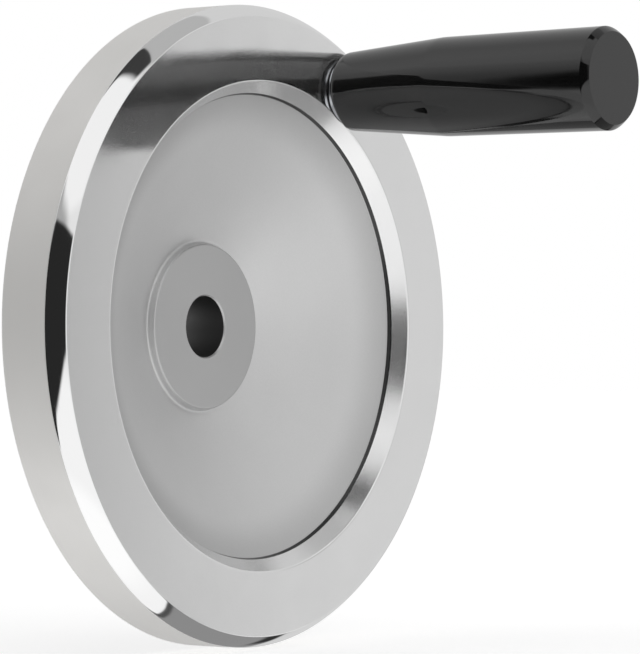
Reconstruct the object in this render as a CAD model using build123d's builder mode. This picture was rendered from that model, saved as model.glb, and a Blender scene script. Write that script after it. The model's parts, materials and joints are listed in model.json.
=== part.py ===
"""Machine handwheel: dished disc wheel in aluminium with a revolving grip.

Frame: the wheel's axis is Y, the side with the grip faces -Y and +Z is up.
The origin is on the wheel's axis, at the middle of the hub's length.
Every length is in millimetres.
"""
from build123d import *
from math import cos, radians, sin, tan
import os

# ---- wheel: rim ----
wheel_diameter = 125.0
rim_depth = 14.0  # front face to rear face of the rim
band_run = 2.25  # polished bevel round the front, along the radius
band_depth = 3.1  # and along the axis, front face to cylinder
face_width = 12.55  # flat polished front face, along the radius
inner_wall_depth = 2.7  # tapered wall inside the face
inner_wall_run = 2.35  # how far it leans inwards
shadow_step_depth = 0.8  # short steep step at the wall's foot
shadow_step_run = 0.25
rim_rear_width = 15.0  # rim's rear face, along the radius
rim_rear_draft = 3.0  # degrees

# ---- wheel: dished web and hub ----
hub_diameter = 32.4  # raised machined face at the front
boss_height = 1.6
boss_draft_run = 0.35
hub_face_setback = 15.2  # front face of the rim to front face of the hub
hub_length = 17.8
hub_rear_diameter = 31.0
hub_rear_draft = 2.0  # degrees
web_thickness = 5.0  # measured square to the web
root_bevel = 2.5  # cast bevel where the web's back meets the rim and the hub
bore_diameter = 12.0
bore_chamfer = 0.3
turned_edge_chamfer = 0.5  # rear edges of the rim and the hub

# ---- crank pin: place, spindle and tapped hole ----
pin_inset = 8.7  # rim's cylinder to the grip's axis, along the radius
pin_angle = 60.5  # degrees from +X towards +Z
thread_diameter = 8.0
thread_length = 10.0
thread_clearance = 0.05
tapped_hole_spare = 1.5  # unfilled depth below the thread
tapped_hole_chamfer = 0.5
thread_end_chamfer = 0.8
collar_diameter = 13.0
collar_height = 0.9
shank_diameter = 8.0
shank_length = 47.0
shank_end_chamfer = 0.8
hex_socket_size = 4.0  # across flats
hex_socket_depth = 4.0

# ---- snap ring that keeps the grip on the spindle ----
ring_section = 0.9  # square spring wire
ring_setback = 5.0  # shank end to the ring's centre
ring_gap = 45.0  # degrees left open
spindle_groove_depth = 0.5
grip_groove_depth = 0.75
ring_side_clearance = 0.1
grip_groove_clearance = 0.3

# ---- grip ----
grip_length = 61.8
grip_base_diameter = 15.6
grip_shoulder_diameter = 19.5
grip_end_diameter = 20.0
grip_shoulder_height = 23.7  # base to the change of taper
grip_base_radius = 1.2
grip_end_radius = 1.4
grip_axial_clearance = 0.1
grip_radial_clearance = 0.05
grip_bore_spare = 1.5  # free depth beyond the shank's end
grip_mouth_chamfer = 0.4
flat_count = 2
flat_angle = 219.5  # degrees, first flat, seen as pin_angle is
flat_offset = 6.25  # grip axis to the flat, at the grip's base
flat_slope = 3.5  # degrees, the flat rises towards the tip

# ---- worked out from the sizes above; Y grows towards the rear ----
wheel_radius = wheel_diameter / 2
hub_rear_y = hub_length / 2
hub_face_y = hub_rear_y - hub_length
face_y = hub_face_y - hub_face_setback
band_y = face_y + band_depth
rim_rear_y = face_y + rim_depth
face_outer_radius = wheel_radius - band_run
face_inner_radius = face_outer_radius - face_width
wall_foot_radius = face_inner_radius - inner_wall_run
wall_foot_y = face_y + inner_wall_depth
web_edge_radius = wall_foot_radius - shadow_step_run
web_edge_y = wall_foot_y + shadow_step_depth
boss_foot_radius = hub_diameter / 2 + boss_draft_run
boss_foot_y = hub_face_y + boss_height
web_slope = (boss_foot_y - web_edge_y) / (web_edge_radius - boss_foot_radius)
web_back_shift = web_thickness * (1 + web_slope**2) ** 0.5


def web_back_y(radius):
    """Y of the web's rear surface at a radius."""
    return web_edge_y + (web_edge_radius - radius) * web_slope + web_back_shift


def drafted_foot(mouth_radius, mouth_y, draft_degrees):
    """Radius where a drafted wall, starting at its mouth, meets the web's back.

    A positive draft leads the wall outwards as it goes to the front.
    """
    lean = tan(radians(draft_degrees))
    mouth_gap = mouth_y - web_back_y(mouth_radius)
    return mouth_radius + mouth_gap * lean / (1 - lean * web_slope)


def corner(section, radius, height):
    """The corner of a drawn section at a radius and a height along its axis."""
    return section.vertices().sort_by_distance((radius, height, 0))[0]


rim_mouth_radius = wheel_radius - rim_rear_width
hub_rear_radius = hub_rear_diameter / 2
rim_foot_radius = drafted_foot(rim_mouth_radius, rim_rear_y, -rim_rear_draft)
hub_root_radius = drafted_foot(hub_rear_radius, hub_rear_y, hub_rear_draft)

pin_x = (wheel_radius - pin_inset) * cos(radians(pin_angle))
pin_z = (wheel_radius - pin_inset) * sin(radians(pin_angle))
tapped_hole_depth = thread_length + tapped_hole_spare
tapped_hole_radius = thread_diameter / 2 + thread_clearance
grip_base = collar_height + grip_axial_clearance
grip_tip = grip_base + grip_length
shank_top = collar_height + shank_length
ring_height = shank_top - ring_setback
shank_radius = shank_diameter / 2
grip_bore_radius = shank_radius + grip_radial_clearance
grip_bore_top = shank_top + grip_bore_spare
ring_groove_half = ring_section / 2 + ring_side_clearance
grip_groove_half = ring_section / 2 + grip_groove_clearance

# The pin's own plane: X along the rim's radius, Y round the rim, Z out of the face.
pin_out = (cos(radians(pin_angle)), 0, sin(radians(pin_angle)))
pin_plane = Plane(origin=(pin_x, face_y, pin_z), x_dir=pin_out, z_dir=(0, -1, 0))
pin_axis = Axis(pin_plane.origin, pin_plane.z_dir)
# Section through the pin: first coordinate is the radius, second the height.
pin_section = Plane(origin=pin_plane.origin, x_dir=pin_out, z_dir=pin_plane.y_dir * -1)

os.makedirs("parts", exist_ok=True)

# ---- wheel: one casting, turned all over at the front ----
with BuildPart() as wheel:
    with BuildSketch(Plane.XY) as wheel_section:
        with BuildLine():
            Polyline(
                (wheel_radius, band_y),
                (wheel_radius, rim_rear_y),
                (rim_mouth_radius, rim_rear_y),
                (rim_foot_radius, web_back_y(rim_foot_radius)),
                (hub_root_radius, web_back_y(hub_root_radius)),
                (hub_rear_radius, hub_rear_y),
                (bore_diameter / 2, hub_rear_y),
                (bore_diameter / 2, hub_face_y),
                (hub_diameter / 2, hub_face_y),
                (boss_foot_radius, boss_foot_y),
                (web_edge_radius, web_edge_y),
                (wall_foot_radius, wall_foot_y),
                (face_inner_radius, face_y),
                (face_outer_radius, face_y),
                close=True,
            )
        make_face()
        chamfer(corner(wheel_section, rim_foot_radius, web_back_y(rim_foot_radius)), root_bevel)
        chamfer(corner(wheel_section, hub_root_radius, web_back_y(hub_root_radius)), root_bevel)
        chamfer(corner(wheel_section, wheel_radius, rim_rear_y), turned_edge_chamfer)
        chamfer(corner(wheel_section, rim_mouth_radius, rim_rear_y), turned_edge_chamfer)
        chamfer(corner(wheel_section, hub_rear_radius, hub_rear_y), turned_edge_chamfer)
        chamfer(corner(wheel_section, bore_diameter / 2, hub_rear_y), bore_chamfer)
        chamfer(corner(wheel_section, bore_diameter / 2, hub_face_y), bore_chamfer)
    revolve(axis=Axis.Y)

    # Tapped hole for the spindle, blind from the front face, with a countersunk mouth.
    with Locations(pin_plane):
        Hole(tapped_hole_radius, depth=tapped_hole_depth)
    with BuildSketch(pin_section):
        with BuildLine():
            Polyline(
                (0, 0),
                (tapped_hole_radius + tapped_hole_chamfer, 0),
                (tapped_hole_radius, -tapped_hole_chamfer),
                (0, -tapped_hole_chamfer),
                close=True,
            )
        make_face()
    revolve(axis=pin_axis, mode=Mode.SUBTRACT)
wheel.part.label = "wheel"
export_step(wheel.part, "parts/wheel.step")

# ---- spindle: threaded end, thrust collar and shank, turned from bar ----
with BuildPart() as spindle:
    with BuildSketch(pin_section):
        with BuildLine():
            Polyline(
                (0, -thread_length),
                (thread_diameter / 2 - thread_end_chamfer, -thread_length),
                (thread_diameter / 2, -thread_length + thread_end_chamfer),
                (thread_diameter / 2, 0),
                (collar_diameter / 2, 0),
                (collar_diameter / 2, collar_height),
                (shank_radius, collar_height),
                (shank_radius, shank_top - shank_end_chamfer),
                (shank_radius - shank_end_chamfer, shank_top),
                (0, shank_top),
                close=True,
            )
        make_face()
    revolve(axis=pin_axis)
    with BuildSketch(pin_section):
        with Locations((shank_radius, ring_height)):
            Rectangle(2 * spindle_groove_depth, 2 * ring_groove_half)
    revolve(axis=pin_axis, mode=Mode.SUBTRACT)
    with BuildSketch(pin_plane.offset(shank_top)):
        RegularPolygon(hex_socket_size / 2, 6, major_radius=False)
    extrude(amount=-hex_socket_depth, mode=Mode.SUBTRACT)
spindle.part.label = "spindle"
export_step(spindle.part, "parts/spindle.step")

# ---- snap ring: square spring wire, open at one side ----
with BuildPart() as snap_ring:
    with BuildSketch(pin_section):
        with Locations((shank_radius, ring_height)):
            Rectangle(ring_section, ring_section)
    revolve(axis=pin_axis, revolution_arc=360 - ring_gap)
snap_ring.part.label = "snap_ring"
export_step(snap_ring.part, "parts/snap_ring.step")

# ---- grip: moulded, flared to a shoulder, closed at the tip, with two long flats ----
with BuildPart() as grip:
    with BuildSketch(pin_section):
        with BuildLine():
            Polyline(
                (0, grip_base),
                (grip_base_diameter / 2, grip_base),
                (grip_shoulder_diameter / 2, grip_base + grip_shoulder_height),
                (grip_end_diameter / 2, grip_tip),
                (0, grip_tip),
                close=True,
            )
        make_face()
    revolve(axis=pin_axis)

    # Each flat is one plane that rises slowly from the base and runs out near the tip.
    for turn in range(flat_count):
        angle = flat_angle + turn * 360 / flat_count
        flat_dir = Vector(cos(radians(angle)), 0, sin(radians(angle)))
        flat_section = Plane(
            origin=pin_plane.origin,
            x_dir=flat_dir,
            z_dir=flat_dir.cross(pin_plane.z_dir),
        )
        with BuildSketch(flat_section):
            with BuildLine():
                Polyline(
                    (flat_offset, grip_base),
                    (flat_offset + grip_length * tan(radians(flat_slope)), grip_tip),
                    (grip_end_diameter, grip_tip),
                    (grip_end_diameter, grip_base),
                    close=True,
                )
            make_face()
        extrude(amount=grip_end_diameter, both=True, mode=Mode.SUBTRACT)

    fillet(grip.faces().sort_by(pin_axis)[0].edges(), grip_base_radius)
    fillet(grip.faces().sort_by(pin_axis)[-1].edges(), grip_end_radius)

    # Blind bore for the spindle, with the groove that the snap ring springs into.
    with BuildSketch(pin_section):
        with BuildLine():
            Polyline(
                (0, grip_base),
                (grip_bore_radius + grip_mouth_chamfer, grip_base),
                (grip_bore_radius, grip_base + grip_mouth_chamfer),
                (grip_bore_radius, ring_height - grip_groove_half),
                (grip_bore_radius + grip_groove_depth, ring_height - grip_groove_half),
                (grip_bore_radius + grip_groove_depth, ring_height + grip_groove_half),
                (grip_bore_radius, ring_height + grip_groove_half),
                (grip_bore_radius, grip_bore_top),
                (0, grip_bore_top),
                close=True,
            )
        make_face()
    revolve(axis=pin_axis, mode=Mode.SUBTRACT)
grip.part.label = "grip"
export_step(grip.part, "parts/grip.step")
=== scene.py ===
"""Machine handwheel: surfaces, finishes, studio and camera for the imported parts.

The wheel's axis is Y, the side with the grip faces -Y and +Z is up. Sizes of the
parts are in millimetres, and everything that reaches Blender is in metres.
"""

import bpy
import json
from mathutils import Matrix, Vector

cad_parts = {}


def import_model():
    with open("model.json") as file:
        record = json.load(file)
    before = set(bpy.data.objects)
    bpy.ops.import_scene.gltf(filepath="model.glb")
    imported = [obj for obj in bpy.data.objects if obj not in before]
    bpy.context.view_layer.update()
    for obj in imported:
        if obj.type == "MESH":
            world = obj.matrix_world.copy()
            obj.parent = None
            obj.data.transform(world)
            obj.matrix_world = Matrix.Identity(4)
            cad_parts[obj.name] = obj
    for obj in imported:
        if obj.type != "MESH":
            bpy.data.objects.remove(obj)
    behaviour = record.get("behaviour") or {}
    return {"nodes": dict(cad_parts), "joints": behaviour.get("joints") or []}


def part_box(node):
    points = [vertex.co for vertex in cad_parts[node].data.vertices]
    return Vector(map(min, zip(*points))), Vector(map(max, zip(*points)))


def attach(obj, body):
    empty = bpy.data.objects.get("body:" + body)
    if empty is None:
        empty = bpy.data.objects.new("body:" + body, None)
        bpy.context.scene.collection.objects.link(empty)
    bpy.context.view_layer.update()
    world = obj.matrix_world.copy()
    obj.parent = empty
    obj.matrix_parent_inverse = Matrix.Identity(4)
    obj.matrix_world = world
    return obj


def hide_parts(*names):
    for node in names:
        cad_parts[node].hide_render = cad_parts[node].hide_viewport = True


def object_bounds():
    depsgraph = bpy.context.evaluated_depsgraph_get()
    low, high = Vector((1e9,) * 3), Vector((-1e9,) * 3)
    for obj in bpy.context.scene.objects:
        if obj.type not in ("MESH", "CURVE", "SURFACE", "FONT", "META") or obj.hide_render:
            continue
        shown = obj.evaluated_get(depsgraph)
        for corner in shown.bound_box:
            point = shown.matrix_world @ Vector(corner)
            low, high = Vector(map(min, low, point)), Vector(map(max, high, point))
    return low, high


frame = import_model()
cad_box = [list(corner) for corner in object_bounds()]

import json
import logging
import math
from dataclasses import dataclass
from enum import IntEnum
from typing import Any, Optional

import bpy
import numpy as np
from mathutils import Matrix

log = logging.getLogger("handwheel")

MM = 0.001
LATHE_MAP = "lathe"  # UV map: U once round the axis, V along the profile in metres
FLOOR_GAP = 0.5 * MM  # from the wheel's lowest point down to the floor


# ---------------------------------------------------------------- small helpers
def linear(hex_colour: str) -> tuple[float, float, float, float]:
    """Turns an sRGB hex colour into linear light.

    Args:
        hex_colour: colour such as "#C8C9C5".

    Returns:
        Red, green, blue and alpha, each 0 to 1.
    """
    srgb = np.array([int(hex_colour[i:i + 2], 16) for i in (1, 3, 5)]) / 255
    light = np.where(srgb <= 0.04045, srgb / 12.92, ((srgb + 0.055) / 1.055) ** 2.4)
    return (float(light[0]), float(light[1]), float(light[2]), 1.0)


def add_node(
    tree: bpy.types.NodeTree,
    kind: str,
    inputs: Optional[dict[int | str, Any]] = None,
    **settings: Any,
) -> bpy.types.Node:
    """Adds one node with its settings and inputs.

    Args:
        tree: node tree that gets the node.
        kind: Blender's type name of the node, without "ShaderNode" in front.
        inputs: what each input takes, by its name or number: a value, an output
            to link, or a node whose first output is linked.
        settings: the node's own properties.

    Returns:
        The new node.
    """
    made = tree.nodes.new("ShaderNode" + kind)
    for name, value in settings.items():
        setattr(made, name, value)
    for socket, source in (inputs or {}).items():
        if isinstance(source, bpy.types.Node):
            source = source.outputs[0]
        if isinstance(source, bpy.types.NodeSocket):
            tree.links.new(source, made.inputs[socket])
        else:
            made.inputs[socket].default_value = source
    return made


def new_tree(name: str) -> tuple[bpy.types.Material, bpy.types.NodeTree]:
    """Makes a material without nodes.

    Args:
        name: the material's name.

    Returns:
        The material and its node tree.
    """
    made = bpy.data.materials.new(name)
    made.use_nodes = True
    made.node_tree.nodes.clear()
    return made, made.node_tree


def new_object(name: str, data: bpy.types.ID) -> bpy.types.Object:
    """Makes an object at the origin and puts it in the scene.

    Args:
        name: the object's name.
        data: its mesh or camera.

    Returns:
        The object.
    """
    made = bpy.data.objects.new(name, data)
    bpy.context.scene.collection.objects.link(made)
    return made


def smooth_minimum(first: np.ndarray, second: np.ndarray, blend: float) -> np.ndarray:
    """The lower of two surfaces, blended where they meet.

    Within the blend distance the lower value is pulled down by the square of how
    near the two are, so the join has no crease.

    Args:
        first: values of one surface.
        second: values of the other.
        blend: how near the two come before they blend.

    Returns:
        The blended values.
    """
    nearness = np.clip(blend - np.abs(first - second), 0, None) / blend
    return np.minimum(first, second) - nearness**2 * blend / 4


# ---------------------------------------------------------------- finishes
@dataclass(frozen=True)
class TurnedAluminium:
    """Cast aluminium cut on a lathe, bright, with fine grooves round the axis.

    The grooves run round the wheel, so they smear a reflection across
    themselves, towards and away from the axis. The more a stretch is polished,
    the less they show. Handling and polishing leave soft patches in the gloss.

    Args:
        name: the material's name.
        colour: the metal's own colour.
        roughness: of the surface between its grooves.
        anisotropy: how much the grooves smear reflections, 0 to 1.
        groove_mm: spacing of the grooves, ten times their depth.
        groove_strength: how strongly the grooves tilt the surface.
        patch_mm: width of the patches.
        cloud: how much the roughness varies from patch to patch.
        dull_share: part of the surface that fine scratches leave dull.
        dull_roughness: of that part.
        scratch_mm: width of the scratches.
    """

    name: str
    colour: str
    roughness: float
    anisotropy: float = 0.0
    groove_mm: float = 0.12
    groove_strength: float = 0.0
    patch_mm: float = 12.0
    cloud: float = 0.03
    dull_share: float = 0.0
    dull_roughness: float = 0.6
    scratch_mm: float = 0.02

    def make(self) -> bpy.types.Material:
        """Builds the material.

        Returns:
            The material.
        """
        made, tree = new_tree(self.name)
        place = add_node(tree, "UVMap", uv_map=LATHE_MAP)
        split = add_node(tree, "SeparateXYZ", {0: place})
        grooves = add_node(tree, "TexNoise", {
            "Scale": 1 / (self.groove_mm * MM),
            "Detail": 2.0,
            "Roughness": 0.6,
            "W": split.outputs[1],
        }, noise_dimensions="1D")
        bump = add_node(tree, "Bump", {
            "Strength": self.groove_strength,
            "Distance": self.groove_mm * MM / 10,
            "Height": grooves,
        })
        body = add_node(tree, "TexCoord").outputs["Object"]
        patches = add_node(
            tree, "TexNoise", {"Scale": 1 / (self.patch_mm * MM), "Detail": 3.0, "Vector": body}
        )
        # Nearly all of the noise lies between 0.3 and 0.7.
        rough = add_node(tree, "MapRange", {
            "From Min": 0.3,
            "From Max": 0.7,
            "To Min": max(self.roughness - self.cloud, 0.0),
            "To Max": self.roughness + self.cloud,
            "Value": patches,
        })
        # The body is divided into cells a scratch wide, and chance makes some dull.
        cell_size = (self.scratch_mm * MM,) * 3
        cells = add_node(tree, "VectorMath", {0: body, 1: cell_size}, operation="SNAP")
        chance = add_node(tree, "TexWhiteNoise", {"Vector": cells})
        dull = add_node(tree, "Math", {0: chance, 1: self.dull_share}, operation="LESS_THAN")
        scratched = add_node(
            tree, "Mix", {"Factor": dull, "A": rough, "B": self.dull_roughness}, data_type="FLOAT"
        )
        round_axis = add_node(tree, "Tangent", direction_type="UV_MAP", uv_map=LATHE_MAP)
        shader = add_node(tree, "BsdfPrincipled", {
            "Base Color": linear(self.colour),
            "Metallic": 1.0,
            "Anisotropic": self.anisotropy,
            "Roughness": scratched,
            "Normal": bump,
            "Tangent": round_axis,
        })
        add_node(tree, "OutputMaterial", {"Surface": shader})
        return made


@dataclass(frozen=True)
class BlastedAluminium:
    """Cast aluminium blasted with fine beads, grey and evenly dull.

    Each bead leaves a shallow dent, so the metal has no mirror image, only a
    soft sheen and a very fine speckle.

    Args:
        name: the material's name.
        colour: colour between the dents.
        cloud_and_dent_shade_colour: colour at the dark end of the mottle: random
        clouds, and painted shade in the dents.
        roughness: of the blasted surface.
        dent_mm: distance between dents, five times their depth. Real ones are
            about 0.1 mm; they are drawn coarser so that they show.
        dent_strength: how strongly the dents tilt the surface.
        dent_shade_share: part of the colour's mottle that comes from the dents, where
        it is painted shade. The rest comes from random clouds.
        cloud_mm: width of the clouds.
        shade_start_mm: radius where the painted shade towards the wall starts.
        shade_end_mm: radius of its edge, and none for an even surface. The painted
            shade stands for the shade at the foot of the wall.
        shade_share: part of the colour that the painted shade leaves at the edge.
    """

    name: str
    colour: str
    cloud_and_dent_shade_colour: str
    roughness: float
    dent_mm: float = 0.35
    dent_strength: float = 0.2
    dent_shade_share: float = 0.35
    cloud_mm: float = 20.0
    shade_start_mm: float = 0.0
    shade_end_mm: Optional[float] = None
    shade_share: float = 0.8

    def make(self) -> bpy.types.Material:
        """Builds the material.

        Returns:
            The material.
        """
        made, tree = new_tree(self.name)
        body = add_node(tree, "TexCoord").outputs["Object"]
        dents = add_node(
            tree, "TexNoise", {"Scale": 1 / (self.dent_mm * MM), "Detail": 2.0, "Vector": body}
        )
        clouds = add_node(
            tree, "TexNoise", {"Scale": 1 / (self.cloud_mm * MM), "Detail": 4.0, "Vector": body}
        )
        # Painted shade: the dents, which the bump also sinks, get the darker colour; the clouds
        # vary it at random.
        mottle = add_node(
            tree, "Mix", {"Factor": self.dent_shade_share, "A": clouds, "B": dents}, data_type="FLOAT"
        )
        tone = add_node(tree, "Mix", {
            "Factor": mottle,
            "A": linear(self.cloud_and_dent_shade_colour),
            "B": linear(self.colour),
        }, data_type="RGBA")
        # Painted shade: the colour darkens towards the foot of the wall, out to its edge.
        if self.shade_end_mm is not None:
            # The radius is the length of the place without its part along the axis.
            across = add_node(
                tree, "VectorMath", {0: body, 1: (1.0, 0.0, 1.0)}, operation="MULTIPLY"
            )
            radius = add_node(tree, "VectorMath", {0: across}, operation="LENGTH")
            edge = add_node(tree, "MapRange", {
                "From Min": self.shade_start_mm * MM,
                "From Max": self.shade_end_mm * MM,
                "To Min": 1.0,
                "To Max": self.shade_share,
                "Value": radius.outputs["Value"],
            }, interpolation_type="SMOOTHSTEP")
            tone = add_node(tree, "Mix", {
                "Factor": 1.0,
                "A": tone.outputs[2],
                "B": edge,
            }, data_type="RGBA", blend_type="MULTIPLY")
        bump = add_node(tree, "Bump", {
            "Strength": self.dent_strength,
            "Distance": self.dent_mm * MM / 5,
            "Height": dents,
        })
        shader = add_node(tree, "BsdfPrincipled", {
            "Base Color": tone.outputs[2],
            "Metallic": 1.0,
            "Roughness": self.roughness,
            "Normal": bump,
        })
        add_node(tree, "OutputMaterial", {"Surface": shader})
        return made


@dataclass(frozen=True)
class BlackPhenolic:
    """Black phenolic resin, compression moulded and buffed: deep gloss.

    The moulded skin is nearly a mirror, with a faint waviness that makes the
    reflections waver, and hair-fine buffing marks along the grip.

    Args:
        name: the material's name.
        colour: the resin's colour.
        roughness: of the skin.
        ior: the resin's index of refraction.
        wave_mm: length of the waves.
        wave_height_mm: height of the waves.
        wave_strength: how strongly the waves tilt the surface.
        mark_mm: distance between the marks.
        mark_stretch: how many times as long as wide the marks are.
        mark_height_mm: depth of the marks.
        mark_strength: how strongly the marks tilt the surface.
        mark_spread: how far the marks change the roughness, as a share of it.
    """

    name: str
    colour: str
    roughness: float
    ior: float = 1.6
    wave_mm: float = 6.0
    wave_height_mm: float = 0.05
    wave_strength: float = 0.15
    mark_mm: float = 0.3
    mark_stretch: float = 30.0
    mark_height_mm: float = 0.01
    mark_strength: float = 0.06
    mark_spread: float = 0.3

    def make(self) -> bpy.types.Material:
        """Builds the material.

        Returns:
            The material.
        """
        made, tree = new_tree(self.name)
        body = add_node(tree, "TexCoord").outputs["Object"]
        along = add_node(
            tree, "Mapping", {"Scale": (1.0, 1 / self.mark_stretch, 1.0), "Vector": body}
        )
        marks = add_node(
            tree, "TexNoise", {"Scale": 1 / (self.mark_mm * MM), "Detail": 2.0, "Vector": along}
        )
        waves = add_node(
            tree, "TexNoise", {"Scale": 1 / (self.wave_mm * MM), "Detail": 1.0, "Vector": body}
        )
        wave_bump = add_node(tree, "Bump", {
            "Strength": self.wave_strength,
            "Distance": self.wave_height_mm * MM,
            "Height": waves,
        })
        bump = add_node(tree, "Bump", {
            "Strength": self.mark_strength,
            "Distance": self.mark_height_mm * MM,
            "Height": marks,
            "Normal": wave_bump,
        })
        # Nearly all of the finer noise lies between 0.35 and 0.65.
        rough = add_node(tree, "MapRange", {
            "From Min": 0.35,
            "From Max": 0.65,
            "To Min": self.roughness * (1 - self.mark_spread),
            "To Max": self.roughness * (1 + self.mark_spread),
            "Value": marks,
        })
        shader = add_node(tree, "BsdfPrincipled", {
            "Base Color": linear(self.colour),
            "IOR": self.ior,
            "Roughness": rough,
            "Normal": bump,
        })
        add_node(tree, "OutputMaterial", {"Surface": shader})
        return made


@dataclass(frozen=True)
class DrawnSteel:
    """Steel turned or drawn to size, then zinc plated or oiled.

    Plating leaves a cool even sheen with a slight cloud in it. The foot of the
    spindle's collar, in the joint between the wheel and the grip, gets painted
    shade that makes it nearly black. Oiled spring wire is darker and a little duller.

    Args:
        name: the material's name.
        colour: colour of the plated or oiled surface.
        cloud_colour: colour of its clouds.
        roughness: of the surface.
        cloud_mm: width of the clouds.
        mark_mm: distance between the tool marks.
        mark_stretch: how many times as long as wide the marks are.
        mark_height_mm: depth of the marks.
        mark_strength: how strongly the marks tilt the surface.
        joint_shade_colour: colour of the painted shade on the foot in the joint.
        joint_shade_y_mm: place along the wheel's axis behind which the painted shade
            lies, and none for a piece without it.
    """

    name: str
    colour: str
    cloud_colour: str
    roughness: float
    cloud_mm: float = 2.0
    mark_mm: float = 0.15
    mark_stretch: float = 20.0
    mark_height_mm: float = 0.01
    mark_strength: float = 0.1
    joint_shade_colour: str = "#2C2C2E"
    joint_shade_y_mm: Optional[float] = None

    def make(self) -> bpy.types.Material:
        """Builds the material.

        Returns:
            The material.
        """
        made, tree = new_tree(self.name)
        body = add_node(tree, "TexCoord").outputs["Object"]
        clouds = add_node(
            tree, "TexNoise", {"Scale": 1 / (self.cloud_mm * MM), "Detail": 3.0, "Vector": body}
        )
        tone = add_node(tree, "Mix", {
            "Factor": clouds,
            "A": linear(self.cloud_colour),
            "B": linear(self.colour),
        }, data_type="RGBA")
        # Painted shade: behind this place the collar's foot in the joint is nearly black.
        if self.joint_shade_y_mm is not None:
            along = add_node(tree, "SeparateXYZ", {0: body})
            foot = add_node(tree, "Math", {
                0: along.outputs[1],
                1: self.joint_shade_y_mm * MM,
            }, operation="GREATER_THAN")
            tone = add_node(tree, "Mix", {
                "Factor": foot,
                "A": tone.outputs[2],
                "B": linear(self.joint_shade_colour),
            }, data_type="RGBA")
        # The tool marks run round the axis, so the place is squeezed across it.
        squeeze = 1 / self.mark_stretch
        across = add_node(tree, "Mapping", {"Scale": (squeeze, 1.0, squeeze), "Vector": body})
        marks = add_node(tree, "TexNoise", {"Scale": 1 / (self.mark_mm * MM), "Vector": across})
        bump = add_node(tree, "Bump", {
            "Strength": self.mark_strength,
            "Distance": self.mark_height_mm * MM,
            "Height": marks,
        })
        shader = add_node(tree, "BsdfPrincipled", {
            "Base Color": tone.outputs[2],
            "Metallic": 1.0,
            "Roughness": self.roughness,
            "Normal": bump,
        })
        add_node(tree, "OutputMaterial", {"Surface": shader})
        return made


class WheelSurface(IntEnum):
    """Finishes on the wheel, in the order of its material slots."""

    HUB_FACE = 0
    WEB = 1
    STEP = 2
    WALL = 3
    FACE = 4
    BAND = 5
    CYLINDER = 6
    REAR = 7
    CASTING = 8
    BORE = 9


WHEEL_FINISHES: dict[WheelSurface, TurnedAluminium | BlastedAluminium] = {
    # Faced and left: a satin ring with a soft streak across the grooves.
    WheelSurface.HUB_FACE: TurnedAluminium(
        "aluminium_faced_hub", "#C3C3C3", 0.36,
        anisotropy=0.5, groove_mm=0.2, groove_strength=0.35,
    ),
    # Even pale grey without a mirror image, with painted shade darkening it near the wall.
    WheelSurface.WEB: BlastedAluminium(
        "aluminium_bead_blasted", "#E1E1E1", "#D1D1D1", 0.5, shade_start_mm=37.0, shade_end_mm=45.1
    ),
    # Painted shade: dark aluminium for the line where the blasting stops, which lies in shade at
    # the wall's foot.
    WheelSurface.STEP: TurnedAluminium("aluminium_relief_cut_painted_shade", "#5A5A5A", 0.25),
    # Bright and slightly blurred, with the room's dark stretches in it.
    WheelSurface.WALL: TurnedAluminium(
        "aluminium_polished_wall", "#F0F0F0", 0.2,
        anisotropy=0.3, groove_mm=0.1, groove_strength=0.25, dull_share=0.1,
    ),
    # Shows the grip and the room, drawn out a little by the lathe's grooves.
    WheelSurface.FACE: TurnedAluminium(
        "aluminium_polished_face", "#F2F2F2", 0.1,
        anisotropy=0.4, groove_mm=0.15, groove_strength=0.08, dull_share=0.06,
    ),
    # The sharpest mirror of the wheel, which bends the room into thin bands.
    WheelSurface.BAND: TurnedAluminium("aluminium_polished_band", "#F2F2F2", 0.045, cloud=0.02),
    # Nearly matt, with no image in it.
    WheelSurface.CYLINDER: TurnedAluminium(
        "aluminium_fine_turned_rim", "#F4F3F1", 0.62,
        anisotropy=0.3, groove_mm=0.12, groove_strength=0.25,
    ),
    # Satin grooves like the hub's, a little coarser.
    WheelSurface.REAR: TurnedAluminium(
        "aluminium_turned_rear", "#D6D6D6", 0.35,
        anisotropy=0.5, groove_mm=0.25, groove_strength=0.4,
    ),
    # Left as cast: dull, mottled and rougher than the web.
    WheelSurface.CASTING: BlastedAluminium(
        "aluminium_cast_skin", "#C9C9C9", "#AEAEAE", 0.6, dent_mm=0.5, dent_strength=0.35
    ),
    # Painted shade: dark grey and dull, so that the bore reads as a dark hole.
    WheelSurface.BORE: TurnedAluminium(
        "aluminium_reamed_bore_painted_shade", "#727272", 0.5,
        anisotropy=0.3, groove_mm=0.1, groove_strength=0.2,
    ),
}
GRIP_FINISH = BlackPhenolic("phenolic_black_moulded", "#0E0E0E", 0.05)
# Zinc plated, with painted shade on the collar's foot in the joint.
SPINDLE_FINISH = DrawnSteel("steel_zinc_plated", "#D2D4D8", "#BEC1C6", 0.25, joint_shade_y_mm=-24.4)
RING_FINISH = DrawnSteel("steel_spring_oiled", "#6A6A6C", "#4C4C4F", 0.35)


# ---------------------------------------------------------------- lathe surfaces
@dataclass(frozen=True)
class Corner:
    """One corner of a turned profile.

    Args:
        radius: distance from the axis.
        along: place along the axis.
        surface: number of the finish on the stretch that starts here.
        setback: how far from the corner its rounding starts, 0 for none.
    """

    radius: float
    along: float
    surface: int = 0
    setback: float = 0.0


@dataclass(frozen=True)
class Profile:
    """A profile as whole arrays, with one entry for each row of its surface.

    Args:
        radius: distances from the axis.
        along: places along the axis.
        surface: numbers of the finishes on the stretches that start there.
    """

    radius: np.ndarray
    along: np.ndarray
    surface: np.ndarray


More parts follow.
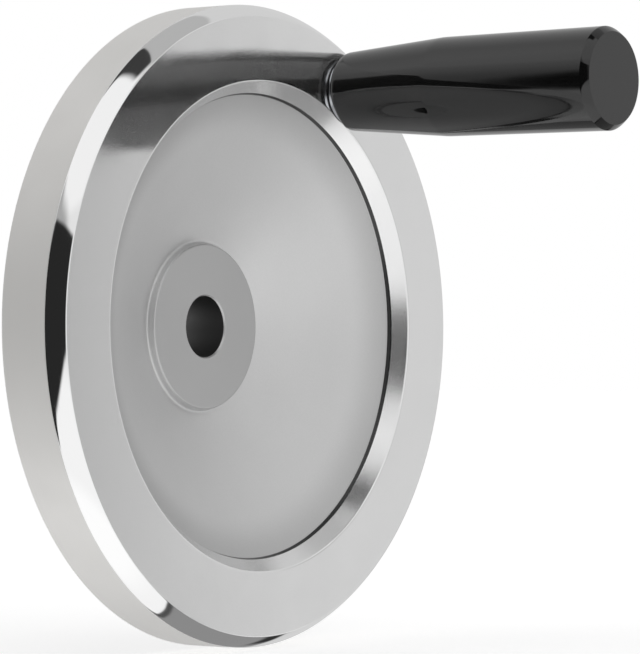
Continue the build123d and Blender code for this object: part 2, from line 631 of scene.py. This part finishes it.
def round_corners(corners: list[Corner], steps: int = 4, beyond: float = 1.5) -> Profile:
    """Rounds the corners of a closed profile.

    A rounding is a parabola through two points set back along both sides, with
    the corner as its control point: near side times (1-t) squared, plus corner
    times 2t(1-t), plus far side times t squared. One more row on each side keeps
    the flats flat under smooth shading.

    Args:
        corners: the corners in order; the last joins the first.
        steps: rows across one rounding.
        beyond: place of the further rows, in setbacks from the corner.

    Returns:
        The profile's rows.
    """
    place = np.array([(c.radius, c.along) for c in corners])
    back = np.array([c.setback for c in corners])[:, None]
    before = np.roll(place, 1, axis=0) - place
    after = np.roll(place, -1, axis=0) - place
    before /= np.linalg.norm(before, axis=1, keepdims=True)
    after /= np.linalg.norm(after, axis=1, keepdims=True)
    t = np.linspace(0, 1, steps)[None, :, None]
    start, end = (place + before * back)[:, None], (place + after * back)[:, None]
    bend = start * (1 - t) ** 2 + place[:, None] * 2 * t * (1 - t) + end * t**2
    outer = [(place + side * back * beyond)[:, None] for side in (before, after)]
    rows = np.concatenate([outer[0], bend, outer[1]], axis=1)

    row = np.arange(steps + 2)
    keep = np.where(back > 0, True, row == 1)
    own = np.array([c.surface for c in corners])[:, None]
    surface = np.where((row > steps // 2) | (back == 0), own, np.roll(own, 1, axis=0))
    return Profile(rows[keep][:, 0], rows[keep][:, 1], surface[keep])


def arc_corners(
    start: tuple[float, float],
    end: tuple[float, float],
    radius: float,
    steps: int,
    surface: int,
) -> list[Corner]:
    """Corners on a circular arc that bulges away from its centre near the axis.

    The centre lies on the chord's perpendicular bisector, at the distance that
    the arc's radius and half the chord give.

    Args:
        start: radius and place along the axis where it starts.
        end: radius and place along the axis where it ends.
        radius: the arc's own radius.
        steps: corners between the two ends.
        surface: number of its finish.

    Returns:
        The corners between the two ends.
    """
    a, b = np.array(start), np.array(end)
    chord = b - a
    half = np.linalg.norm(chord) / 2
    inwards = np.array([-chord[1], chord[0]]) / (2 * half)
    centre = (a + b) / 2 + inwards * math.sqrt(radius**2 - half**2)
    first = math.atan2(a[1] - centre[1], a[0] - centre[0])
    last = math.atan2(b[1] - centre[1], b[0] - centre[0])
    angle = np.linspace(first, last, steps + 2)[1:-1]
    points = centre + radius * np.stack([np.cos(angle), np.sin(angle)], axis=1)
    return [Corner(float(r), float(y), surface) for r, y in points]


def lathe_mesh(name: str, profile: Profile, radii: np.ndarray, closed: bool) -> bpy.types.Mesh:
    """Turns a profile round the Y axis.

    The point of row i and column j is (R cos a, y_i, R sin a), with a the j-th
    part of a full turn and R the grid's radius there.

    Args:
        name: the mesh's name.
        profile: rows along the profile, in millimetres.
        radii: radius of each row and column, in millimetres.
        closed: True if the last row joins the first; False if both end rows
            lie on the axis, where each becomes one point.

    Returns:
        The mesh, in metres, with its lathe map and finish numbers.
    """
    rows, columns = radii.shape
    turn = np.arange(columns) * 2 * np.pi / columns
    along = np.broadcast_to(profile.along[:, None], radii.shape)
    points = np.stack([radii * np.cos(turn), along, radii * np.sin(turn)], axis=2)

    index = np.arange(rows * columns).reshape(rows, columns)
    if not closed:
        index[[0, -1]] = index[[0, -1], :1]
    bands = rows if closed else rows - 1
    i, j = (g.ravel() for g in np.meshgrid(np.arange(bands), np.arange(columns), indexing="ij"))
    lower, right = (i + 1) % rows, (j + 1) % columns
    ring = np.stack([index[i, j], index[i, right], index[lower, right], index[lower, j]], axis=1)
    used, quads = np.unique(ring, return_inverse=True)
    quads = quads.reshape(-1, 4)
    kept = quads != np.roll(quads, 1, axis=1)
    faces = [quad[corners].tolist() for quad, corners in zip(quads, kept)]
    step = np.hypot(
        np.diff(profile.radius, append=profile.radius[0]),
        np.diff(profile.along, append=profile.along[0]),
    )
    length = np.concatenate([[0], np.cumsum(step)]) * MM
    u = np.stack([j, j + 1, j + 1, j], axis=1) / columns
    v = length[np.stack([i, i, i + 1, i + 1], axis=1)]

    mesh = bpy.data.meshes.new(name)
    mesh.from_pydata(points.reshape(-1, 3)[used] * MM, [], faces)
    lathe_map = mesh.uv_layers.new(name=LATHE_MAP)
    lathe_map.data.foreach_set("uv", np.stack([u, v], axis=2)[kept].ravel().astype(np.float32))
    mesh.polygons.foreach_set("use_smooth", np.ones(len(quads), bool))
    mesh.polygons.foreach_set("material_index", profile.surface[i].astype(np.int32))
    mesh.update()
    return mesh


@dataclass
class WheelCasting:
    """The dished disc wheel: one casting, turned, polished and blasted.

    Lengths are in millimetres and drafts in degrees. The first three are read
    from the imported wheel, and the rest keep its sizes. The band is the polished
    bevel round the front, the wall leads from the face down to the web, and the
    step is the relief cut at the wall's foot. The last seven lengths are setbacks
    of the roundings, which only this surface has.

    Args:
        outer_radius: radius of the rim's cylinder.
        face_y: place of the polished front face along the axis.
        hub_rear_y: place of the hub's rear face.
    """

    outer_radius: float
    face_y: float
    hub_rear_y: float
    rim_depth: float = 14.0
    band_run: float = 2.25
    band_depth: float = 3.1
    band_radius: float = 12.0
    face_width: float = 12.55
    wall_depth: float = 2.7
    wall_run: float = 2.35
    step_depth: float = 0.8
    step_run: float = 0.25
    rim_rear_width: float = 15.0
    rim_rear_draft: float = 3.0
    hub_radius: float = 16.2
    boss_height: float = 1.6
    boss_draft_run: float = 0.35
    hub_length: float = 17.8
    hub_rear_radius: float = 15.5
    hub_rear_draft: float = 2.0
    web_thickness: float = 5.0
    root_bevel: float = 2.5
    bore_radius: float = 6.0
    bore_chamfer: float = 0.3
    turned_chamfer: float = 0.5
    columns: int = 360
    band_steps: int = 5
    bore_edge: float = 0.05
    rear_edge: float = 0.1
    front_edge: float = 0.12
    wall_edge: float = 0.22
    boss_edge: float = 0.3
    rim_edge: float = 0.35
    boss_foot: float = 0.6

    @classmethod
    def from_frame(cls) -> "WheelCasting":
        """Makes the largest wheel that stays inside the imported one's box."""
        low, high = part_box("wheel")
        return cls(min(high[0], high[2], -low[0], -low[2]) / MM, low[1] / MM, high[1] / MM)

    def corners(self) -> list[Corner]:
        """Lists the profile's corners.

        The web is a straight cone. Its back is the same cone moved square to
        itself by the web's thickness.

        Returns:
            The corners, from the bore's front edge outwards over the front and
            back in over the rear.
        """
        hub_y = self.hub_rear_y - self.hub_length
        rim_rear_y = self.face_y + self.rim_depth
        face_outer = self.outer_radius - self.band_run
        face_inner = face_outer - self.face_width
        foot, foot_y = face_inner - self.wall_run, self.face_y + self.wall_depth
        edge, edge_y = foot - self.step_run, foot_y + self.step_depth
        boss, boss_y = self.hub_radius + self.boss_draft_run, hub_y + self.boss_height
        slope = (boss_y - edge_y) / (edge - boss)
        back = self.web_thickness * math.hypot(1, slope)

        def foot_of(mouth: float, mouth_y: float, draft: float) -> tuple[float, float]:
            """Finds where a drafted wall meets the web's back.

            Args:
                mouth: the wall's radius where it starts.
                mouth_y: place along the axis where it starts.
                draft: the wall's lean in degrees, outwards as it goes in.

            Returns:
                Radius and place along the axis where it ends.
            """
            lean = math.tan(math.radians(draft))
            gap = mouth_y - (edge_y + (edge - mouth) * slope + back)
            radius = mouth + gap * lean / (1 - lean * slope)
            return radius, edge_y + (edge - radius) * slope + back

        rim_mouth = self.outer_radius - self.rim_rear_width
        rim_foot = foot_of(rim_mouth, rim_rear_y, -self.rim_rear_draft)
        hub_foot = foot_of(self.hub_rear_radius, self.hub_rear_y, self.hub_rear_draft)
        bore, bore_mouth = self.bore_radius, self.bore_radius + self.bore_chamfer
        outer, hub_rear, hub_rear_y = self.outer_radius, self.hub_rear_radius, self.hub_rear_y
        cut, rear_edge, s = self.turned_chamfer, self.rear_edge, WheelSurface
        band_start, band_end = (face_outer, self.face_y), (outer, self.face_y + self.band_depth)
        return [
            Corner(bore, hub_y + self.bore_chamfer, s.HUB_FACE, self.bore_edge),
            Corner(bore_mouth, hub_y, s.HUB_FACE, self.bore_edge),
            Corner(self.hub_radius, hub_y, s.WEB, self.boss_edge),
            Corner(boss, boss_y, s.WEB, self.boss_foot),
            Corner(edge, edge_y, s.STEP, self.front_edge),
            Corner(foot, foot_y, s.WALL, self.front_edge),
            Corner(face_inner, self.face_y, s.FACE, self.wall_edge),
            Corner(*band_start, s.BAND, self.front_edge),
            *arc_corners(band_start, band_end, self.band_radius, self.band_steps, s.BAND),
            Corner(*band_end, s.CYLINDER, self.rim_edge),
            Corner(outer, rim_rear_y - cut, s.REAR, rear_edge),
            Corner(outer - cut, rim_rear_y, s.REAR, rear_edge),
            Corner(rim_mouth + cut, rim_rear_y, s.REAR, rear_edge),
            Corner(rim_mouth, rim_rear_y - cut, s.CASTING, rear_edge),
            Corner(*rim_foot, s.CASTING, self.root_bevel),
            Corner(*hub_foot, s.CASTING, self.root_bevel),
            Corner(hub_rear, hub_rear_y - cut, s.REAR, rear_edge),
            Corner(hub_rear - cut, hub_rear_y, s.REAR, rear_edge),
            Corner(bore_mouth, hub_rear_y, s.REAR, self.bore_edge),
            Corner(bore, hub_rear_y - self.bore_chamfer, s.BORE, self.bore_edge),
        ]

    def build(self) -> bpy.types.Object:
        """Builds and dresses the wheel.

        Returns:
            The wheel's object.
        """
        profile = round_corners(self.corners())
        radii = np.repeat(profile.radius[:, None], self.columns, axis=1)
        mesh = lathe_mesh("wheel_casting", profile, radii, closed=True)
        for surface in WheelSurface:
            mesh.materials.append(WHEEL_FINISHES[surface].make())
        made = new_object("wheel_casting", mesh)
        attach(made, "wheel_body")
        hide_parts("wheel")
        return made


@dataclass
class RevolvingGrip:
    """The moulded grip: flared to a shoulder, closed at the tip, with two flats.

    Lengths are in millimetres, angles in degrees, and heights count from the
    grip's base. A blend is how near two surfaces come before they run together,
    the groove holds the snap ring, and sharpness is how near to a sharp corner its
    further row lies.

    Args:
        axis_x: place of the grip's axis across the wheel.
        axis_z: place of the grip's axis up the wheel.
        base_y: place of its base along the wheel's axis.
        length: from base to tip.
    """

    axis_x: float
    axis_z: float
    base_y: float
    length: float
    base_radius: float = 7.8
    shoulder_radius: float = 9.75
    end_radius: float = 10.0
    shoulder_height: float = 23.7
    shoulder_blend: float = 0.05
    base_round: float = 1.2
    tip_depth: float = 1.5
    tip_inset: float = 1.1
    tip_fullness: float = 1.6
    tip_steps: int = 15
    side_steps: int = 120
    face_steps: int = 6
    flat_angle: float = 217.0
    flat_radius: float = 12.0
    flat_offsets: tuple[float, float, float] = (7.38, 9.37, 10.02)
    flat_blend: float = 0.03
    bore_radius: float = 4.05
    bore_depth: float = 48.4
    bore_round: float = 0.4
    groove_height: float = 41.9
    groove_half: float = 0.75
    groove_radius: float = 4.8
    sharpness: float = 0.05
    columns: int = 480

    @classmethod
    def from_frame(cls) -> "RevolvingGrip":
        """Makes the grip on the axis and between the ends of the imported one.

        Returns:
            The grip.
        """
        low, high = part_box("grip")
        joint = next(j for j in frame["joints"] if j["name"] == "grip_spin")
        axis_x, _, axis_z = joint["pos_m"]
        return cls(axis_x / MM, axis_z / MM, high[1] / MM, (high[1] - low[1]) / MM)

    def outline(self, height: np.ndarray, turn: np.ndarray) -> np.ndarray:
        """Radius of the grip's side.

        The round body is the lower of two cones that meet at the shoulder. Each
        flat is slightly rounded across: an arc of its own radius, whose centre is
        c from the axis along the flat's direction. At an angle a from there it is
        c cos a plus the root of its radius squared less (c sin a) squared. It
        rises straight from the base to the shoulder, and more slowly to the tip.

        Args:
            height: heights above the base, as a column.
            turn: angles round the axis, as a row.

        Returns:
            The radius at each height and angle.
        """
        shoulder, shoulder_radius = self.shoulder_height, self.shoulder_radius
        flare = self.base_radius + (shoulder_radius - self.base_radius) * height / shoulder
        rise = (height - shoulder) / (self.length - shoulder)
        barrel = shoulder_radius + (self.end_radius - shoulder_radius) * rise
        body = smooth_minimum(flare, barrel, self.shoulder_blend)
        offset = np.interp(height, (0, shoulder, self.length), self.flat_offsets)
        centre = offset - self.flat_radius
        for half_turn in (0.0, math.pi):
            angle = turn - math.radians(self.flat_angle) - half_turn
            reach = np.sqrt(self.flat_radius**2 - (centre * np.sin(angle)) ** 2)
            flat = centre * np.cos(angle) + reach
            body = smooth_minimum(body, flat, self.flat_blend)
        return body

    def build(self) -> bpy.types.Object:
        """Builds and dresses the grip.

        Each row has a height, a share of the outline and an offset. Its radius is
        the share times the outline plus the offset. The bore has no share, the
        side has all of it, and the two end faces go from one to the other. The
        further rows keep the flats flat under smooth shading.

        The tip's edge is a chamfer that starts round and ends flat, in a crease:
        its place along the axis is the depth times the sine raised to the
        fullness, and its place across is the inset times the cosine squared.

        Returns:
            The grip's object.
        """
        near, bore, mouth = self.sharpness, self.bore_radius, self.bore_radius + self.bore_round
        groove_top = self.groove_height + self.groove_half
        groove_foot = self.groove_height - self.groove_half
        # From the bore's closed end out of its mouth.
        bore_rows = [
            (self.bore_depth, 0.0, 0.0),
            (self.bore_depth, 0.0, bore - near),
            (self.bore_depth - near, 0.0, bore),
            (groove_top + near, 0.0, bore),
            (groove_top, 0.0, bore + near),
            (groove_top, 0.0, self.groove_radius),
            (groove_foot, 0.0, self.groove_radius),
            (groove_foot, 0.0, bore + near),
            (groove_foot - near, 0.0, bore),
            (self.bore_round + near, 0.0, bore),
            (self.bore_round, 0.0, bore + near / 5),
            (0.0, 0.0, mouth),
        ]
        face = np.linspace(0.02, 0.98, self.face_steps)
        base_rows = [(0.0, k, (1 - k) * mouth - k * self.base_round) for k in face]
        base_edge = [
            (self.base_round * (1 - math.cos(q)), 1.0, self.base_round * (math.sin(q) - 1))
            for q in np.linspace(0, np.pi / 2, 10)[:-1]
        ]
        tip_y = self.length - self.tip_depth
        side = np.append(np.linspace(self.base_round, tip_y - near, self.side_steps), tip_y)
        side_rows = [(h, 1.0, 0.0) for h in side]
        along, across, full = self.tip_depth, self.tip_inset, self.tip_fullness
        tip_edge = [
            (tip_y + along * math.sin(q) ** full, 1.0, across * (math.cos(q) ** 2 - 1))
            for q in np.linspace(0, np.pi / 2, self.tip_steps + 1)[1:]
        ]
        tip_rows = [(self.length, k, -k * across) for k in (0.995, *face[::-1], 0.0)]
        rows = np.array(bore_rows + base_rows + base_edge + side_rows + tip_edge + tip_rows)
        height, share, offset = rows.T[:, :, None]
        turn = np.arange(self.columns)[None, :] * 2 * np.pi / self.columns
        radii = share * self.outline(height, turn) + offset
        profile = Profile(radii.max(axis=1), -height[:, 0], np.zeros(len(rows), int))
        mesh = lathe_mesh("revolving_grip", profile, radii, closed=False)
        place = (self.axis_x * MM, self.base_y * MM, self.axis_z * MM)
        mesh.transform(Matrix.Translation(place))
        mesh.materials.append(GRIP_FINISH.make())
        made = new_object("revolving_grip", mesh)
        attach(made, "grip_body")
        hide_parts("grip")
        return made


@dataclass
class GripSpindle:
    """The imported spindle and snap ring, dressed in steel.

    Args:
        spindle: the spindle's finish.
        ring: the snap ring's finish.
    """

    spindle: DrawnSteel = SPINDLE_FINISH
    ring: DrawnSteel = RING_FINISH

    def dress(self) -> None:
        """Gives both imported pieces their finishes."""
        for node, finish in (("spindle", self.spindle), ("snap_ring", self.ring)):
            piece = frame["nodes"][node]
            piece.data.materials.clear()
            piece.data.materials.append(finish.make())


# ---------------------------------------------------------------- studio
@dataclass(frozen=True)
class Edge:
    """One edge of a panel, which cuts the ball of directions along a circle.

    A direction is inside when its share along the edge's own direction is above
    the limit. The edge's direction has a part to the right of the camera's view,
    a part towards the camera and a part upwards.

    Args:
        along: the three parts.
        limit: share above which a direction is inside.
        soft: how far the edge fades, on both sides of the limit.
    """

    along: tuple[float, float, float]
    limit: float
    soft: float

    def other_side(self) -> "Edge":
        """The same edge with what was outside it inside."""
        x, y, z = self.along
        return Edge((-x, -y, -z), -self.limit, self.soft)


def above(elevation: float, soft: float) -> Edge:
    """An edge with everything above an elevation inside it.

    Args:
        elevation: degrees above the horizon.
        soft: degrees that it fades on both sides.

    Returns:
        The edge.
    """
    rise = math.radians(elevation)
    return Edge((0.0, 0.0, 1.0), math.sin(rise), math.cos(rise) * math.radians(soft))


def below(elevation: float, soft: float) -> Edge:
    """An edge like above, with everything below the elevation inside it."""
    return above(elevation, soft).other_side()


def past(azimuth: float, soft: float) -> Edge:
    """An upright edge with the half turn past an azimuth inside it.

    Args:
        azimuth: degrees from the camera, towards its right.
        soft: degrees that it fades on both sides, seen on the horizon.

    Returns:
        The edge.
    """
    turn = math.radians(azimuth)
    return Edge((math.cos(turn), -math.sin(turn), 0.0), 0.0, math.radians(soft))


def before(azimuth: float, soft: float) -> Edge:
    """An edge like past, with the half turn before the azimuth inside it."""
    return past(azimuth, soft).other_side()


def slanting(start: tuple[float, float], end: tuple[float, float], soft: float) -> Edge:
    """A straight edge through two directions.

    Its own direction is the cross product of the two, and the left of the way
    from start to end is inside.

    Args:
        start: azimuth and elevation where it starts, in degrees.
        end: azimuth and elevation where it ends.
        soft: degrees that it fades on both sides.

    Returns:
        The edge.
    """
    turn, rise = np.radians(np.array([start, end])).T
    level = np.cos(rise)
    ways = np.stack([np.sin(turn) * level, np.cos(turn) * level, np.sin(rise)], axis=1)
    along = np.cross(ways[1], ways[0])
    along /= np.linalg.norm(along)
    return Edge((float(along[0]), float(along[1]), float(along[2])), 0.0, math.radians(soft))


@dataclass(frozen=True)
class Panel:
    """An even tone of the room, inside all of its edges.

    Args:
        name: what stands there.
        tone: grey as a hex colour.
        edges: its edges.
    """

    name: str
    tone: str
    edges: tuple[Edge, ...]


@dataclass
class Studio:
    """A light tent round the wheel, open towards the camera, with a white sweep behind.

    Args:
        floor_z: height of the floor, in metres.
        right: level direction to the right of the camera's view.
        near: level direction towards the camera.
        tent: tone of the tent's cloth.
        level: strength of the room's light.
        floor_tone: tone of the floor.
        floor_half: half the floor's width, in metres.
        floor_lift: what the camera sees added to the floor's own light.
        panels: parts of the room, each over those before it.
    """

    floor_z: float
    right: tuple[float, float, float]
    near: tuple[float, float, float]
    tent: str = "#DCDCDC"
    level: float = 1.18
    floor_tone: str = "#E4E4E4"
    floor_half: float = 3.0
    floor_lift: float = 0.5
    panels: tuple[Panel, ...] = (
        Panel("sweep", "#C8C8C8", (Edge((0.0, -1.0, 0.0), 0.25, 0.12),)),
        Panel("lit ceiling", "#EAEAEA", (above(33, 3), Edge((0.0, 1.0, 0.0), -0.1, 0.1))),
        Panel("lit floor", "#EEEEEE", (below(-12, 6), Edge((0.0, 1.0, 0.0), -0.45, 0.1))),
        Panel(
            "bright floor", "#F8F8F8",
            (below(-50, 6), before(64, 10), Edge((0.0, 1.0, 0.0), -0.1, 0.1)),
        ),
        Panel(
            "seam of the tent", "#8C8C8C",
            (past(97, 3), before(104, 4), above(-20, 8), below(20, 8)),
        ),
        Panel(
            "top of the seam", "#383838", (past(62, 4), before(93, 4), above(47, 3), below(60, 3))
        ),
        Panel(
            "side of the tent", "#A8A8A8",
            (below(22, 12), above(-8, 6), past(-100, 6), before(-60, 5)),
        ),
        Panel("table", "#868686", (Edge((0.59, -0.81, 0.0), 0.274, 0.008), below(-32, 1.5))),
        Panel(
            "near edge of the table", "#4A4A4A",
            (
                Edge((0.59, -0.81, 0.0), 0.269, 0.008),
                Edge((-0.59, 0.81, 0.0), -0.312, 0.012),
                below(-62, 3),
            ),
        ),
        Panel(
            "far edge of the table", "#303030",
            (below(-31.5, 1.5), above(-37.5, 1.5), past(149, 3), before(163, 3)),
        ),
        Panel("far ceiling", "#ACACAC", (above(55.2, 1), Edge((0.61, -0.79, 0.0), 0.18, 0.01))),
        Panel(
            "gap in the ceiling", "#383838",
            (
                above(67, 2),
                Edge((-0.61, 0.79, 0.0), -0.18, 0.01),
                Edge((0.365, -0.93, 0.0), -0.07, 0.035),
            ),
        ),
        Panel(
            "flap over the opening", "#A0A0A0",
            (above(20, 3), before(2, 7), past(-60, 10), slanting((5, 28), (-24, 42), 4)),
        ),
        Panel(
            "tent's opening", "#252525",
            (
                slanting((5, 27.3), (-22, 33), 1),
                slanting((-22, 43), (-70, 20), 9),
                slanting((-70.6, 10), (-72.3, -20), 1.2),
                before(17, 5),
                slanting((-21, -28.5), (13.7, -4.6), 1.5),
                slanting((-72, -24), (-36, -44), 4),
            ),
        ),
    )

    def build_world(self) -> None:
        """Makes the room.

        Each edge is the dot product of a direction with the edge's own direction,
        faded round its limit. A panel is the product of its edges, and covers
        what was there before.
        """
        world = bpy.data.worlds.new("studio")
        world.use_nodes = True
        tree = world.node_tree
        tree.nodes.clear()
        ray = add_node(tree, "TexCoord").outputs["Generated"]
        axes = np.array([self.right, self.near, (0.0, 0.0, 1.0)])
        room: bpy.types.NodeSocket | tuple[float, ...] = linear(self.tent)
        for panel in self.panels:
            inside: bpy.types.Node | float = 1.0
            for edge in panel.edges:
                along = (np.array(edge.along) @ axes).tolist()
                share = add_node(tree, "VectorMath", {0: ray, 1: along}, operation="DOT_PRODUCT")
                fade = add_node(tree, "MapRange", {
                    "From Min": edge.limit - edge.soft,
                    "From Max": edge.limit + edge.soft,
                    "Value": share.outputs["Value"],
                }, interpolation_type="SMOOTHSTEP")
                inside = add_node(tree, "Math", {0: fade, 1: inside}, operation="MULTIPLY")
            cover = {"Factor": inside, "A": room, "B": linear(panel.tone)}
            room = add_node(tree, "Mix", cover, data_type="RGBA").outputs[2]
        path = add_node(tree, "LightPath")
        lit = add_node(tree, "Background", {"Strength": self.level, "Color": room})
        white = add_node(tree, "Background", {"Color": linear("#FFFFFF")})
        seen = add_node(tree, "MixShader", {0: path.outputs["Is Camera Ray"], 1: lit, 2: white})
        add_node(tree, "OutputWorld", {"Surface": seen})
        bpy.context.scene.world = world

    def build_floor(self) -> None:
        """Makes the pale floor, which the camera sees as white as the sweep.

        The lift that only the camera sees brings the lit floor up to white, and
        the object's soft shadow stays on it.
        """
        mesh = bpy.data.meshes.new("floor")
        corners = np.array([(-1, -1), (1, -1), (1, 1), (-1, 1)]) * self.floor_half
        mesh.from_pydata(np.insert(corners, 2, self.floor_z, axis=1), [], [(0, 1, 2, 3)])
        made = new_object("floor", mesh)
        finish, tree = new_tree("floor_matt_white")
        diffuse = add_node(tree, "BsdfDiffuse", {"Color": linear(self.floor_tone)})
        path = add_node(tree, "LightPath")
        seen = add_node(tree, "Math", {
            0: path.outputs["Is Camera Ray"],
            1: self.floor_lift,
        }, operation="MULTIPLY")
        lift = add_node(tree, "Emission", {"Color": linear("#FFFFFF"), "Strength": seen})
        both = add_node(tree, "AddShader", {0: diffuse, 1: lift})
        add_node(tree, "OutputMaterial", {"Surface": both})
        mesh.materials.append(finish)
        made.visible_glossy = False


@dataclass
class Camera:
    """The camera at the left front of the wheel, level with its axis.

    Args:
        place: position in metres.
        right: direction to the right of its view.
        forward: direction of its view.
        lens: focal length in millimetres.
        film: long side of the film, in millimetres.
    """

    place: tuple[float, float, float] = (-0.5751, -0.4611, -0.00235)
    right: tuple[float, float, float] = (0.59372, -0.80466, -0.00403)
    forward: tuple[float, float, float] = (0.80467, 0.59372, 0.00297)
    lens: float = 204.72
    film: float = 36.0

    def build(self) -> None:
        """Makes the camera and sets it as the scene's."""
        data = bpy.data.cameras.new("camera")
        data.lens = self.lens
        data.sensor_width = self.film
        data.clip_start, data.clip_end = 0.01, 100.0
        made = new_object("camera", data)
        right, forward = np.array(self.right), np.array(self.forward)
        up = np.cross(right, forward)
        turn = Matrix(np.stack([right, up, -forward], axis=1).tolist()).to_4x4()
        made.matrix_world = Matrix.Translation(self.place) @ turn
        bpy.context.scene.camera = made


def main() -> None:
    """Builds the pieces, the studio and the camera in order."""
    logging.basicConfig(level=logging.INFO, format="%(name)s: %(message)s")
    camera = Camera()
    camera.build()
    log.info("camera: lens %.1f mm", camera.lens)
    wheel = WheelCasting.from_frame().build()
    log.info("wheel casting: %d faces", len(wheel.data.polygons))
    grip = RevolvingGrip.from_frame().build()
    log.info("revolving grip: %d faces", len(grip.data.polygons))
    GripSpindle().dress()
    log.info("spindle and snap ring: dressed in steel")
    studio = Studio(
        floor_z=cad_box[0][2] - FLOOR_GAP,
        right=(camera.right[0], camera.right[1], 0.0),
        near=(-camera.forward[0], -camera.forward[1], 0.0),
    )
    studio.build_world()
    studio.build_floor()
    log.info("studio: %d panels", len(studio.panels))
    bpy.context.scene.view_settings.view_transform = "Standard"


if __name__ == "__main__":
    main()
